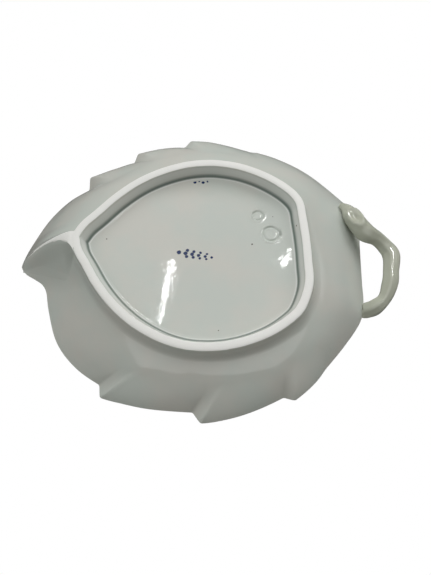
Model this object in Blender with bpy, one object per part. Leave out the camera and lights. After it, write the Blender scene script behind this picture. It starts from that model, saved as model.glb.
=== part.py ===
"""Leaf-shaped gravy boat: a lobed porcelain leaf on a foot ring, poured from its tip, held by a twig.

Frame: metres, +Z up, the dish stands on z = 0. -X is the pouring tip, +X the twig handle.
The origin is the middle of the model's box, at table height.
"""
import math

import bmesh
import bpy
from mathutils import Vector

MM = 0.001

# ---------------------------------------------------------------- driving sizes
LEAF_LENGTH = 225.0 * MM     # pouring tip to the stem end of the rim
LEAF_WIDTH = 180.0 * MM      # across the margins, without the teeth
RIM_HEIGHT = 24.0 * MM       # table to the rim along the sides
SPOUT_RISE = 24.0 * MM       # how much higher the rim is at the tip
STEM_RISE = 3.5 * MM         # how much higher the rim is at the handle
WALL = 4.0 * MM              # thickness of the porcelain
TOOTH_DEPTH = 9.0 * MM       # the deepest tooth; the others are shares of it
TOOTH_STEP = 2.5 * MM        # how far along the margin a tooth takes to drop

FOOT_LENGTH = 141.0 * MM     # foot ring, pointed corner to the straight end
FOOT_WIDTH = 122.0 * MM
FOOT_FACE = 5.0 * MM         # width of the unglazed standing face
FOOT_DEPTH = 8.0 * MM        # table to the underside of the dish
FOOT_DRAFT = 2.8 * MM        # lean of the ring's inner wall
FOOT_FLARE = 1.6 * MM        # lean of the ring's outer wall

KEEL_WIDTH = 5.0 * MM        # rib under the spout, at the foot ring
KEEL_TIP_WIDTH = 2.4 * MM    # and where it fades out
KEEL_REACH = 0.52            # share of the way from the ring's corner to the tip

TWIG_RADIUS = 5.2 * MM       # handle, between its nodes
TWIG_REACH = 15.8 * MM       # rim to the middle of the twig, which leaves the finger gap
TWIG_DROP = 5.5 * MM         # rim at the handle down to the middle of the twig
STUB_RADIUS = 6.0 * MM       # the cut stem under the far shoulder
BUTT_RISE = 5.0 * MM         # how much higher the twig's thin end sits, against the rim
BUTT_SEAT = 0.5 * MM         # how far that end runs into the rim before it is trimmed

GAP = 0.3 * MM               # clearance kept between separate pieces

# ---------------------------------------------------------------- outlines
# Percent of the leaf's length from the tip, percent of half its width.
MARGIN_FAR = [
    (0, 0), (1.5, -15), (5.5, -37), (11, -53.5), (17.5, -63), (25, -76), (31, -86), (39, -94.5),
    (46, -99.5), (55, -102), (67, -98.5), (76, -92.5), (85.5, -80), (94, -63), (98, -53),
    (99.3, -40), (99.5, -21), (99.8, 4),
]
MARGIN_NEAR = [
    (0, 0), (0.7, 4.5), (2.8, 9), (6.3, 13.5), (9.3, 18), (11.5, 24.5), (14, 39), (19, 61.5),
    (26, 77.5), (34, 88), (40.5, 93), (48, 97), (58, 99), (64, 98), (71.5, 93.5), (80, 84.5),
    (87, 72.5), (92, 58), (97.3, 39), (99.5, 27.5), (100, 16), (99.8, 4),
]
# Each tooth: percent of the length at its notch, and its share of TOOTH_DEPTH.
TEETH_FAR = [(17.5, 1.0), (31, 0.7), (46, 0.58), (66.5, 0.1)]
TEETH_NEAR = [(34, 0.66), (58, 0.62), (80, 0.48)]
LAST_LOBE = 28.0 * MM        # length of the lobe behind the tooth nearest the stem

# Foot ring: percent of its length from the pointed corner, percent of half its width.
FOOT_FAR = [
    (0, 0), (2.8, -15.5), (7.5, -30), (14, -50), (22, -69), (31, -83.5), (41, -94), (50, -99),
    (58, -100), (67, -97.5), (76, -91), (84.5, -81), (91, -69.5), (94.8, -57), (96.3, -40),
    (98, -15), (99, 8),
]
FOOT_NEAR = [
    (0, 0), (2.8, 15.5), (7.5, 30), (14, 49.5), (22, 68), (31, 83), (41, 94), (50, 99.5),
    (58, 100.5), (67, 98), (76, 91.5), (84.5, 81.5), (91, 70), (96, 57), (98.7, 40), (99.6, 25),
    (99, 8),
]

TIP_SHARE = 0.546            # share of the leaf that lies on the tip's side of the design's origin
FOOT_SHARE = 0.443           # share of the foot ring on the tip's side of the leaf's middle
SPOUT_SHARE = 0.502          # share of the leaf, from the tip, over which the rim sweeps up
SWEEP_POWER = 1.7            # how late the rim rises towards the tip
KEEL_POWER = 1.45            # and the keel, which starts to rise sooner

# How steeply the flank leaves the foot: height goes as (distance out) ** power.
# Pairs of (place round the side, 0 at the tip and 1 at the stem; power).
FLANK_FAR = [(0.0, 1.9), (0.06, 1.55), (0.35, 2.1), (1.0, 2.1)]
FLANK_NEAR = [(0.0, 1.9), (0.025, 0.85), (0.12, 0.95), (0.4, 2.1), (1.0, 2.1)]
VEIN_SLANT = 0.08            # how far the side veins lean towards the stem
FOLD_REACH = 0.55            # share of the flank, from the foot, that the teeth leave smooth

# Cut stem under the far flank: (place round the side, share of the flank, depth, girth),
# the last two as shares of STUB_RADIUS.
STUB_BENDS = [(0.824, 0.78, 0.30, 0.30), (0.844, 0.78, 0.65, 0.62), (0.868, 0.81, 1.0, 0.88)]
# Twig: (share of TWIG_REACH out from the rim, share of the way from stub to butt, rise, girth).
TWIG_BENDS = [
    (-0.11, 0.162, -7.0 * MM, 1.08), (0.38, 0.208, -4.5 * MM, 0.88), (0.73, 0.268, -2.0 * MM, 0.88),
    (1.0, 0.364, -0.5 * MM, 1.02), (0.98, 0.549, 0.0, 0.90), (0.925, 0.695, 0.5 * MM, 0.92),
    (0.715, 0.869, 2.0 * MM, 0.76), (0.36, 0.968, 3.5 * MM, 0.92),
]
BUTT_PLACE = 0.945           # where the twig's thin end meets the near side of the rim
BUTT_GIRTH = 0.86            # and how thick it is there, as a share of TWIG_RADIUS

# Cross-sections, as shares of each piece's own size. The ring: (share of the wall's lean, height).
RING_OUTSIDE = [(0.0, 0.0), (0.35, 0.6), (1.0, 1.0)]
RING_INSIDE = [(1.0, 1.0), (0.55, 0.6), (0.0, 0.0)]
# The keel: (share of half its width, share of its height), from one root round to the other.
KEEL_PROFILE = [(-1.15, 1.0), (-1.0, 0.45), (-0.62, 0.0), (0.62, 0.0), (1.0, 0.45), (1.15, 1.0)]
KEEL_STATIONS = 14
LIP_CROWN = 0.32             # how far the lip's middle stands out, as a share of the wall
STEEPEST = 1.3               # slope past which the wall isn't thickened any more

# Stations across the flank, 0 at the foot and 1 at the rim.
RINGS = [0.0, 0.14, 0.28, 0.42, 0.55, 0.67, 0.78, 0.87, 0.94, 1.0]
STATION_STEP = 5.0 * MM
FOOT_STEP = 5.4 * MM
TWIG_SIDES = 14

FAR, NEAR = -1, 1
PORCELAIN = (0.80, 0.81, 0.79, 1.0)
BISCUIT = (0.84, 0.84, 0.81, 1.0)
TWIG_GLAZE = (0.70, 0.71, 0.64, 1.0)


def clear_scene():
    for obj in list(bpy.data.objects):
        bpy.data.objects.remove(obj)


def material(name, colour, roughness):
    made = bpy.data.materials.new(name)
    made.use_nodes = True
    shader = made.node_tree.nodes["Principled BSDF"]
    shader.inputs["Base Color"].default_value = colour
    shader.inputs["Roughness"].default_value = roughness
    shader.inputs["Metallic"].default_value = 0.0
    return made


def ramp(pairs, value):
    """Straight-line lookup in a short list of (place, value) pairs."""
    for (a, va), (b, vb) in zip(pairs, pairs[1:]):
        if value <= b:
            return va + (vb - va) * (value - a) / (b - a)
    return pairs[-1][1]


def smoothstep(low, high, value):
    share = min(max((value - low) / (high - low), 0.0), 1.0)
    return share * share * (3.0 - 2.0 * share)


# ---------------------------------------------------------------- curves
class Side:
    """One side of an outline, from the tip end (0) to the stem end (1), as a smooth curve."""

    def __init__(self, points):
        self.points = points
        self.arc = [0.0]
        for a, b in zip(points, points[1:]):
            self.arc.append(self.arc[-1] + (b - a).length)
        self.length = self.arc[-1]

    def at(self, share):
        goal = min(max(share, 0.0), 1.0) * self.length
        for k in range(1, len(self.arc)):
            if goal <= self.arc[k]:
                step = self.arc[k] - self.arc[k - 1]
                return self.points[k - 1].lerp(self.points[k], (goal - self.arc[k - 1]) / step)
        return self.points[-1].copy()

    def outward(self, share, side):
        """Unit vector square to the curve, pointing away from the dish."""
        reach = 0.004
        along = self.at(share + reach) - self.at(share - reach)
        return Vector((along.y, -along.x)).normalized() * -side


def through(points, before, after, fine=10):
    """Catmull-Rom curve through points; before and after are the neighbours past its two ends."""
    chain = [before] + points + [after]
    made = []
    for k in range(1, len(chain) - 2):
        a, b, c, d = chain[k - 1:k + 3]
        for n in range(fine):
            u = n / fine
            made.append(0.5 * (2 * b + (c - a) * u + (2 * a - 5 * b + 4 * c - d) * u * u
                               + (3 * b - a - 3 * c + d) * u * u * u))
    made.append(points[-1].copy())
    return made


def outline(far, near, start, length, half_width, sharp_tip):
    """Both sides of an outline that percent lists describe, on one closed smooth curve."""
    def place(pair):
        return Vector((start + length * pair[0] / 100.0, half_width * pair[1] / 100.0))
    far_points = [place(p) for p in far]
    near_points = [place(p) for p in near]
    past_far = far_points[0] * 2 - far_points[1] if sharp_tip else near_points[1]
    past_near = near_points[0] * 2 - near_points[1] if sharp_tip else far_points[1]
    return {
        FAR: Side(through(far_points, past_far, near_points[-2])),
        NEAR: Side(through(near_points, past_near, far_points[-2])),
    }


def inset(sides, distance):
    """The outline moved in by distance, with the pointed corner kept on the middle line."""
    moved = {}
    for side, path in sides.items():
        count = len(path.points) - 1
        line = []
        for k in range(count + 1):
            share = path.arc[k] / path.length
            line.append(path.at(share) - path.outward(share, side) * distance)
        inside = [p for p in line[:count // 2] if p.y * side > 0.0] + line[count // 2:]
        first, second = inside[0], inside[1]
        run = (second.x - first.x) / (second.y - first.y)
        tip = Vector((first.x - first.y * run, 0.0))
        moved[side] = [tip] + inside
    stem = (moved[FAR][-1] + moved[NEAR][-1]) / 2
    tip = (moved[FAR][0] + moved[NEAR][0]) / 2
    return {side: Side([tip] + line[1:-1] + [stem]) for side, line in moved.items()}


TIP_X = -LEAF_LENGTH * TIP_SHARE
STEM_X = TIP_X + LEAF_LENGTH
FOOT_X = TIP_X + LEAF_LENGTH / 2 - FOOT_LENGTH * FOOT_SHARE
SWEEP_X = TIP_X + LEAF_LENGTH * SPOUT_SHARE
margin = outline(MARGIN_FAR, MARGIN_NEAR, TIP_X, LEAF_LENGTH, LEAF_WIDTH / 2, False)
foot = outline(FOOT_FAR, FOOT_NEAR, FOOT_X, FOOT_LENGTH, FOOT_WIDTH / 2, True)


# ---------------------------------------------------------------- the leaf's surface
def rim_height(x):
    """The rim is level along the sides, sweeps up to the tip and lifts a little at the stem."""
    to_tip = min(max((SWEEP_X - x) / (SWEEP_X - TIP_X), 0.0), 1.0)
    to_stem = smoothstep(LEAF_LENGTH * 0.22, LEAF_LENGTH * 0.45, x)
    return RIM_HEIGHT + SPOUT_RISE * to_tip ** SWEEP_POWER + STEM_RISE * to_stem


def notches(side):
    """Arc places of the notches on one side, tip to stem, each with its tooth's depth."""
    path = margin[side]
    found = []
    for percent, share in (TEETH_FAR if side == FAR else TEETH_NEAR):
        x = TIP_X + LEAF_LENGTH * percent / 100.0
        k = next(k for k, p in enumerate(path.points) if p.x >= x)
        found.append((path.arc[k], share * TOOTH_DEPTH))
    return found


NOTCHES = {FAR: notches(FAR), NEAR: notches(NEAR)}


def tooth(side, arc):
    """How far the toothed rim stands outside the smooth margin at this arc place."""
    places = NOTCHES[side]
    for k, (start, depth) in enumerate(places):
        end = places[k + 1][0] if k + 1 < len(places) else start + LAST_LOBE
        if start <= arc < end:
            rise = smoothstep(start, start + TOOTH_STEP, arc)
            fall = 1.0 - max(arc - start - TOOTH_STEP, 0.0) / (end - start - TOOTH_STEP)
            return depth * rise * fall
    return 0.0


def worn_tooth(side, arc, reach):
    """The same tooth for the inner surface: the least that stands out within reach."""
    steps = 8
    return min(tooth(side, arc + reach * (k / steps * 2 - 1)) for k in range(steps + 1))


def surface(side, t, s, standing=None):
    """Underside of the leaf. t runs tip to stem along a side, s from foot to rim."""
    path = margin[side]
    base = foot[side].at(t + VEIN_SLANT * math.sin(math.pi * t))
    edge = path.at(t)
    if standing is None:
        standing = tooth(side, t * path.length)
    push = path.outward(t, side) * standing * smoothstep(FOLD_REACH, 1.0, s)
    spot = base.lerp(edge, s) + push
    power = ramp(FLANK_FAR if side == FAR else FLANK_NEAR, t)
    z = FOOT_DEPTH + (rim_height(edge.x) - FOOT_DEPTH) * s ** power
    return Vector((spot.x, spot.y, z))


def inner_surface(side, t, s):
    """Inside of the leaf, one wall thickness off the underside."""
    path = margin[side]
    standing = worn_tooth(side, t * path.length, WALL)
    here = surface(side, t, s, standing)
    step = 0.03
    back = surface(side, t, max(s - step, 0.0), standing)
    ahead = surface(side, t, min(s + step, 1.0), standing)
    run = (ahead.xy - back.xy).length
    slope = (ahead.z - back.z) / run
    here.z += WALL * math.sqrt(1.0 + min(slope, STEEPEST) ** 2)
    return here


def stations():
    """Places round the rim, closer together where a tooth drops, as (side, t) pairs."""
    made = []
    for side in (FAR, NEAR):
        length = margin[side].length
        count = round(length / STATION_STEP)
        arcs = []
        for start, depth in NOTCHES[side]:
            if depth > TOOTH_STEP / 2:
                arcs += [start + TOOTH_STEP * k for k in (-0.7, 0.0, 0.3, 0.65, 1.0, 1.7)]
        for k in range(count + 1):
            arc = length * k / count
            if all(abs(arc - other) > STATION_STEP * 0.45 for other in arcs):
                arcs.append(arc)
        arcs = sorted(arcs)
        if side == NEAR:
            arcs = arcs[-2:0:-1]
        made += [(side, arc / length) for arc in arcs]
    return made


# ---------------------------------------------------------------- building closed lofts
def loft(loops, ring=False):
    """Closed body from point loops of equal length; a ring joins its last loop to its first."""
    bm = bmesh.new()
    rows = [[bm.verts.new(p) for p in loop] for loop in loops]
    count = len(loops[0])
    for low, high in zip(rows, rows[1:] + rows[:1] if ring else rows[1:]):
        for k in range(count):
            n = (k + 1) % count
            bm.faces.new((low[k], low[n], high[n], high[k]))
    if not ring:
        bm.faces.new(rows[0][::-1])
        bm.faces.new(rows[-1])
    bmesh.ops.recalc_face_normals(bm, faces=bm.faces)
    return bm


def finish(name, bm, finish_material, sharp_degrees=35):
    mesh = bpy.data.meshes.new(name)
    bm.to_mesh(mesh)
    bm.free()
    mesh.materials.append(finish_material)
    mesh.shade_smooth()
    mesh.set_sharp_from_angle(angle=math.radians(sharp_degrees))
    obj = bpy.data.objects.new(name, mesh)
    bpy.context.scene.collection.objects.link(obj)
    return obj


def leaf_loops():
    """Loops from the middle of the underside, out over the lip, and back to the inner floor."""
    around = stations()
    outer = [[surface(side, t, s) for side, t in around] for s in RINGS]
    lip_share = {}
    for side, t in around:
        reach = (margin[side].at(t) - foot[side].at(t)).length
        lip_share[side, t] = 1.0 - WALL / reach
    inner = [[inner_surface(side, t, s * lip_share[side, t]) for side, t in around] for s in RINGS]
    lip = []
    for k in range(len(around)):
        edge, top = outer[-1][k], inner[-1][k]
        across = top - edge
        up = Vector((-across.x, -across.y, 0.0)).normalized() * abs(across.z)
        up.z = across.xy.length
        lip.append((edge + top) / 2 + up.normalized() * across.length * LIP_CROWN)
    return outer + [lip] + inner[::-1]


def make_leaf(porcelain):
    return finish("leaf_bowl", loft(leaf_loops()), porcelain)


def make_clearance(leaf):
    """A copy of the leaf grown by GAP, which trims what is joined to it."""
    bm = bmesh.new()
    bm.from_mesh(leaf.data)
    bm.normal_update()
    grown = [(v, v.co + v.normal * GAP) for v in bm.verts]
    for v, spot in grown:
        v.co = spot
    cutter = finish("leaf_clearance", bm, leaf.data.materials[0])
    cutter.hide_render = True
    cutter.display_type = "WIRE"
    return cutter


def trim(obj, cutter):
    cut = obj.modifiers.new("clear_of_leaf", "BOOLEAN")
    cut.operation = "DIFFERENCE"
    cut.solver = "EXACT"
    cut.object = cutter


# ---------------------------------------------------------------- foot ring and keel
def make_foot(biscuit):
    """Standing ring: flat face on the table, leaning walls, and a flat top under the dish."""
    top = FOOT_DEPTH - GAP
    section = [(-FOOT_FLARE * lean, top * height) for lean, height in RING_OUTSIDE]
    section += [(FOOT_FACE + FOOT_DRAFT * lean, top * height) for lean, height in RING_INSIDE]
    counts = {side: round(path.length / FOOT_STEP) for side, path in foot.items()}
    loops = []
    for move, z in section:
        sides = inset(foot, move)
        far = [sides[FAR].at(k / counts[FAR]) for k in range(counts[FAR] + 1)]
        near = [sides[NEAR].at(k / counts[NEAR]) for k in range(counts[NEAR] - 1, 0, -1)]
        loops.append([Vector((p.x, p.y, z)) for p in far + near])
    return finish("foot_ring", loft(loops, ring=True), biscuit)


def keel_line(share):
    """Lowest line of the rib under the spout, from the ring's corner to the pouring tip."""
    start = foot[FAR].at(0.0)
    end = margin[FAR].at(0.0)
    spot = start.lerp(end, share)
    height = GAP + (rim_height(end.x) - GAP) * share ** KEEL_POWER
    return Vector((spot.x, spot.y, height))


def make_keel(porcelain):
    """Rib that carries the ring's corner on up the spout, fading into the leaf."""
    clear_of_ring = GAP + FOOT_FLARE * 1.2
    first = clear_of_ring / (margin[FAR].at(0.0) - foot[FAR].at(0.0)).length
    loops = []
    for k in range(KEEL_STATIONS + 1):
        share = first + (KEEL_REACH - first) * k / KEEL_STATIONS
        low = keel_line(share)
        roof = surface(FAR, 0.0, share).z - GAP
        half = (KEEL_WIDTH + (KEEL_TIP_WIDTH - KEEL_WIDTH) * share / KEEL_REACH) / 2
        rise = max(roof - low.z, GAP)
        loops.append([Vector((low.x, low.y + half * y, low.z + rise * z)) for y, z in KEEL_PROFILE])
    return finish("spout_keel", loft(loops), porcelain)


# ---------------------------------------------------------------- twig handle
def under_leaf(t, s, depth):
    """A point that hangs below the leaf's far flank, so the stem follows the flank."""
    spot = surface(FAR, t, s)
    spot.z -= depth
    return spot


def twig_route():
    """Middle line of the twig with its radius, from the cut stem round to the butt joint."""
    route = []
    for place, out, depth, girth in STUB_BENDS:
        route.append((under_leaf(place, out, STUB_RADIUS * depth), STUB_RADIUS * girth))
    shoulder = route[-1][0]
    butt = margin[NEAR].at(BUTT_PLACE)
    seat = butt - margin[NEAR].outward(BUTT_PLACE, NEAR) * BUTT_SEAT
    level = rim_height(STEM_X) - TWIG_DROP
    for reach, across, rise, girth in TWIG_BENDS:
        x = STEM_X + TWIG_REACH * reach
        y = shoulder.y + (butt.y - shoulder.y) * across
        route.append((Vector((x, y, level + rise)), TWIG_RADIUS * girth))
    route.append((Vector((seat.x, seat.y, level + BUTT_RISE)), TWIG_RADIUS * BUTT_GIRTH))
    return route


def smooth_route(route, fine):
    """The route made smooth: each point and its radius run as one curve in four numbers."""
    spots = [Vector((*spot, radius)) for spot, radius in route]
    before = spots[0] * 2 - spots[1]
    after = spots[-1] * 2 - spots[-2]
    return [(v.xyz, v.w) for v in through(spots, before, after, fine)]


def tube(line, sides):
    """Loops round a bent, tapering stick, kept from twisting by carrying one side vector along."""
    loops = []
    across = Vector((0.0, 0.0, 1.0))
    for k, (spot, radius) in enumerate(line):
        ahead = line[min(k + 1, len(line) - 1)][0]
        back = line[max(k - 1, 0)][0]
        along = (ahead - back).normalized()
        across = (across - along * across.dot(along)).normalized()
        other = along.cross(across)
        ring = []
        for n in range(sides):
            angle = 2 * math.pi * n / sides
            ring.append(spot + (across * math.cos(angle) + other * math.sin(angle)) * radius)
        loops.append(ring)
    return loops


def make_handle(glaze, cutter):
    """The twig and its cut stem: one bent stick, parted square to its length by GAP."""
    route = twig_route()
    line = smooth_route(route, 4)
    parting = (route[len(STUB_BENDS) - 1][0] + route[len(STUB_BENDS)][0]) / 2
    part = min(range(len(line)), key=lambda k: (line[k][0] - parting).length)
    loops = tube(line, TWIG_SIDES)
    back = (line[part - 1][0] - line[part + 1][0]).normalized() * GAP
    stub_loops = loops[:part] + [[p + back for p in loops[part]]]
    trim(finish("twig_handle", loft(loops[part:]), glaze, 60), cutter)
    trim(finish("stem_stub", loft(stub_loops), glaze, 60), cutter)


def centre_on_box():
    """Move every mesh so that the model's box is centred on the origin."""
    shown = [o for o in bpy.context.scene.objects if o.type == "MESH" and not o.hide_render]
    graph = bpy.context.evaluated_depsgraph_get()
    corners = []
    for obj in shown:
        mesh = obj.evaluated_get(graph).to_mesh()
        corners += [v.co.copy() for v in mesh.vertices]
    low = Vector([min(c[k] for c in corners) for k in range(3)])
    high = Vector([max(c[k] for c in corners) for k in range(3)])
    shift = Vector((-(low.x + high.x) / 2, -(low.y + high.y) / 2, -low.z))
    for obj in bpy.context.scene.objects:
        for vertex in obj.data.vertices:
            vertex.co += shift
    print("box", [round(v * 1000, 2) for v in (high - low)], "moved by",
          [round(v * 1000, 2) for v in shift])


def main():
    clear_scene()
    porcelain = material("glazed_porcelain", PORCELAIN, 0.12)
    biscuit = material("bare_foot", BISCUIT, 0.65)
    twig_glaze = material("twig_glaze", TWIG_GLAZE, 0.15)
    leaf = make_leaf(porcelain)
    cutter = make_clearance(leaf)
    make_foot(biscuit)
    make_keel(porcelain)
    make_handle(twig_glaze, cutter)
    bpy.context.view_layer.update()
    centre_on_box()


main()
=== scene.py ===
# %% [markdown]
# # A leaf-shaped porcelain gravy boat
#
# The dish is one big toothed leaf, folded up a little at its tip so that it pours, with a
# twig bent round as its handle. It stands on a ring whose face is left bare, because glaze
# would stick it to the kiln shelf. We look at it from below, where all of that shows.
#
# The pieces are the ones a potter joins with slip: the leaf, the foot ring, the keel under
# the spout, the twig and the cut stem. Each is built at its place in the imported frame.

# %% Load the frame
import math

import bmesh
import bpy
import numpy as np
from mathutils import Matrix, Vector, noise
from mathutils.bvhtree import BVHTree


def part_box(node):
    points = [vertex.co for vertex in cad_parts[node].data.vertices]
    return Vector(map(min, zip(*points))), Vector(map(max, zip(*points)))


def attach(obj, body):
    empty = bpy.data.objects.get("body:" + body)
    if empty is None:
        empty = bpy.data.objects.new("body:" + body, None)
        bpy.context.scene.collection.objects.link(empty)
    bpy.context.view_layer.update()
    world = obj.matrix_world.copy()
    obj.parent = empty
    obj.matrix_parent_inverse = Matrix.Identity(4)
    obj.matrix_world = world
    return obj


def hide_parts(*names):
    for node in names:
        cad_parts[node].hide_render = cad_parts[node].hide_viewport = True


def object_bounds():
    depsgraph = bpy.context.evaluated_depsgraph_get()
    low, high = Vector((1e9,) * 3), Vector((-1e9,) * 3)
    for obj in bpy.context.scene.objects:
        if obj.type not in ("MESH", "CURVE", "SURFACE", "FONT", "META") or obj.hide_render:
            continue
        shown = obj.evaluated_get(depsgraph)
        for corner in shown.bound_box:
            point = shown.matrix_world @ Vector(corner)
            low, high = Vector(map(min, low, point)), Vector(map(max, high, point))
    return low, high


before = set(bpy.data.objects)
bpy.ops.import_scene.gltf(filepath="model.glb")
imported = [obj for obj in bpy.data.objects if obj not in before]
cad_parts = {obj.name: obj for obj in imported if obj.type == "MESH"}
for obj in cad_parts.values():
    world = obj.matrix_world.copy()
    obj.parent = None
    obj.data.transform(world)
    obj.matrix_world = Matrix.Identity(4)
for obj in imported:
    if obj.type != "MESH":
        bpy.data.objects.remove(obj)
cad_low, cad_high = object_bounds()
print("packed nodes:", sorted(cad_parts))
print("packed box, mm:", [round(v * 1000, 1) for v in (cad_high - cad_low)])

# %% [markdown]
# ## Camera, backdrop and light
#
# The dish is looked at as if someone held it up with its foot towards them, so the camera is
# below it. The world is plain white behind it. The light is soft: wide panels that don't
# mirror in the glaze, because a square window in it would look like a hole, and a few narrow
# strips that do, and draw its sharp streaks.

# %% Camera
# A phone's lens, about 25 cm below the dish and to its near side.
camera_data = bpy.data.cameras.new("camera")
camera_data.lens = 26.98
camera_data.sensor_width = 36.0
camera = bpy.data.objects.new("camera", camera_data)
camera.location = (0.02827, 0.11652, -0.21624)
camera.rotation_euler = [math.radians(a) for a in (-156.99, -1.38, -5.62)]
bpy.context.scene.collection.objects.link(camera)
bpy.context.scene.camera = camera
camera_data.clip_start = 0.01
bpy.context.scene.view_settings.view_transform = "Standard"
print("camera is", round(camera.location.length * 1000), "mm from the dish")

# %% Helper: nodes
def add_node(tree, kind, **settings):
    """A new node; settings are its properties, or its input values by name."""
    made = tree.nodes.new(kind)
    for name, value in settings.items():
        label = name.replace("_", " ")
        if hasattr(made, name):
            setattr(made, name, value)
        else:
            made.inputs[label].default_value = value
    return made


def math_node(tree, operation, first, second=None, clamp=False):
    """A Math node fed by sockets or numbers; returns its output socket."""
    made = tree.nodes.new("ShaderNodeMath")
    made.operation = operation
    made.use_clamp = clamp
    for slot, value in enumerate((first, second)):
        if isinstance(value, bpy.types.NodeSocket):
            tree.links.new(value, made.inputs[slot])
        elif value is not None:
            made.inputs[slot].default_value = value
    return made.outputs[0]


def blend_colour(tree, share, first, second):
    """A colour between first and second; each is a socket or an RGBA value."""
    made = tree.nodes.new("ShaderNodeMix")
    made.data_type = "RGBA"
    sockets = [made.inputs[0], made.inputs[6], made.inputs[7]]
    for socket, value in zip(sockets, (share, first, second)):
        if isinstance(value, bpy.types.NodeSocket):
            tree.links.new(value, socket)
        else:
            socket.default_value = value
    return made.outputs[2]


print("node helpers ready")

# %% World: white to the camera, soft grey to the dish, dark in its reflections
CAMERA_WHITE = 1.0
AMBIENT = 0.22
MIRRORED = 0.1
world = bpy.data.worlds.new("studio")
world.use_nodes = True
bpy.context.scene.world = world
tree = world.node_tree
tree.nodes.clear()
seen = add_node(tree, "ShaderNodeBackground", Color=(1, 1, 1, 1), Strength=CAMERA_WHITE)
given = add_node(tree, "ShaderNodeBackground", Color=(1.0, 1.0, 0.95, 1))
path = tree.nodes.new("ShaderNodeLightPath")
choice = tree.nodes.new("ShaderNodeMixShader")
out = tree.nodes.new("ShaderNodeOutputWorld")
# A glossy ray meets a darker world, so that the glaze shows the strips and not a haze.
strength = add_node(tree, "ShaderNodeMapRange", To_Min=AMBIENT, To_Max=MIRRORED)
tree.links.new(path.outputs["Is Glossy Ray"], strength.inputs["Value"])
tree.links.new(strength.outputs["Result"], given.inputs["Strength"])
tree.links.new(path.outputs["Is Camera Ray"], choice.inputs[0])
tree.links.new(given.outputs[0], choice.inputs[1])
tree.links.new(seen.outputs[0], choice.inputs[2])
tree.links.new(choice.outputs[0], out.inputs["Surface"])
print("world ready")

# %% Helper: light panels
def add_panel(name, place, size, power, mirrored=False):
    """A light panel that faces the dish; mirrored says whether the glaze reflects it."""
    data = bpy.data.lights.new(name, "AREA")
    data.shape = "RECTANGLE"
    data.size, data.size_y = size
    data.energy = power
    lamp = bpy.data.objects.new(name, data)
    lamp.location = place
    lamp.rotation_euler = (-Vector(place)).to_track_quat("-Z", "Y").to_euler()
    lamp.visible_camera = False
    lamp.visible_glossy = mirrored
    bpy.context.scene.collection.objects.link(lamp)
    return lamp


print("light panels face the dish")

# %% Lamps
PANEL_SIZE = (0.6, 0.6)
PANELS = {
    "far_panel": ((0.0, -0.95, -0.65), 2.5),
    "steep_panel": ((0.0, -0.5, -1.0), 2.9),
    "right_panel": ((0.7, -0.7, -0.6), 3.3),
    "left_panel": ((-0.95, 0.0, -0.6), 1.8),
    "corner_panel": ((-0.7, -0.7, -0.6), 0.9),
    "near_panel": ((0.0, 0.95, -0.6), 0.6),
    "upper_panel": ((0.2, -0.7, 1.1), 11.0),
    "upper_fill": ((-0.8, 0.6, 0.9), 2.0),
}
for name, (place, power) in PANELS.items():
    add_panel(name, place, PANEL_SIZE, power)
# Strips are given as two ends, a width and a power. They only mirror in the glaze.
STRIPS = {
    "left_strip": ((-0.146, -0.343, -0.700), (-0.158, -0.186, -0.744), 0.008, 0.16),
    "right_strip": ((0.118, -0.352, -0.705), (0.146, -0.378, -0.693), 0.016, 0.08),
    "edge_strip": ((0.161, -0.290, -0.722), (0.150, -0.255, -0.735), 0.010, 0.03),
    "twig_strip": ((0.34, -0.60, -0.62), (0.34, -0.24, -0.69), 0.06, 4.0),
    "ceiling": ((0.0, -0.75, -1.0), (0.0, 0.80, -1.0), 1.6, 7.8),
}
for name, (first, last, width, power) in STRIPS.items():
    first, last = Vector(first), Vector(last)
    strip = add_panel(name, (first + last) / 2, (width, (last - first).length), power, True)
    back = (first + last).normalized()
    side = (last - first).cross(back).normalized()
    strip.visible_diffuse = False
    strip.rotation_euler = Matrix((side, back.cross(side), back)).transposed().to_euler()

# %% [markdown]
# ## Floor
#
# A camera that looks up from under a table would see only the table's other side. So the
# floor is a sheet that shows from above and is clear from below, and it neither shades the
# dish nor shines in its glaze. It fades out into the white so that no horizon shows.

# %% Floor
FLOOR_SIZE = 1.6
FADE_FROM, FADE_TO = 0.35, 1.3
bm = bmesh.new()
bmesh.ops.create_grid(bm, x_segments=1, y_segments=1, size=FLOOR_SIZE)
floor_mesh = bpy.data.meshes.new("floor")
bm.to_mesh(floor_mesh)
bm.free()
floor = bpy.data.objects.new("floor", floor_mesh)
bpy.context.scene.collection.objects.link(floor)
floor.visible_shadow = False
floor.visible_glossy = False
floor.visible_diffuse = False
floor_material = bpy.data.materials.new("pale_floor")
floor_material.use_nodes = True
tree = floor_material.node_tree
tree.nodes.clear()
paint = add_node(tree, "ShaderNodeBsdfDiffuse", Color=(0.88, 0.88, 0.87, 1))
clear = tree.nodes.new("ShaderNodeBsdfTransparent")
facing = tree.nodes.new("ShaderNodeNewGeometry")
choice = tree.nodes.new("ShaderNodeMixShader")
out = tree.nodes.new("ShaderNodeOutputMaterial")
place = tree.nodes.new("ShaderNodeTexCoord")
away = tree.nodes.new("ShaderNodeVectorMath")
away.operation = "LENGTH"
tree.links.new(place.outputs["Object"], away.inputs[0])
fade = add_node(tree, "ShaderNodeMapRange", From_Min=FADE_FROM, From_Max=FADE_TO)
tree.links.new(away.outputs["Value"], fade.inputs["Value"])
see_through = math_node(tree, "MAXIMUM", facing.outputs["Backfacing"], fade.outputs["Result"])
tree.links.new(see_through, choice.inputs[0])
tree.links.new(paint.outputs[0], choice.inputs[1])
tree.links.new(clear.outputs[0], choice.inputs[2])
tree.links.new(choice.outputs[0], out.inputs["Surface"])
floor_mesh.materials.append(floor_material)
print("floor ready")

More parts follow.
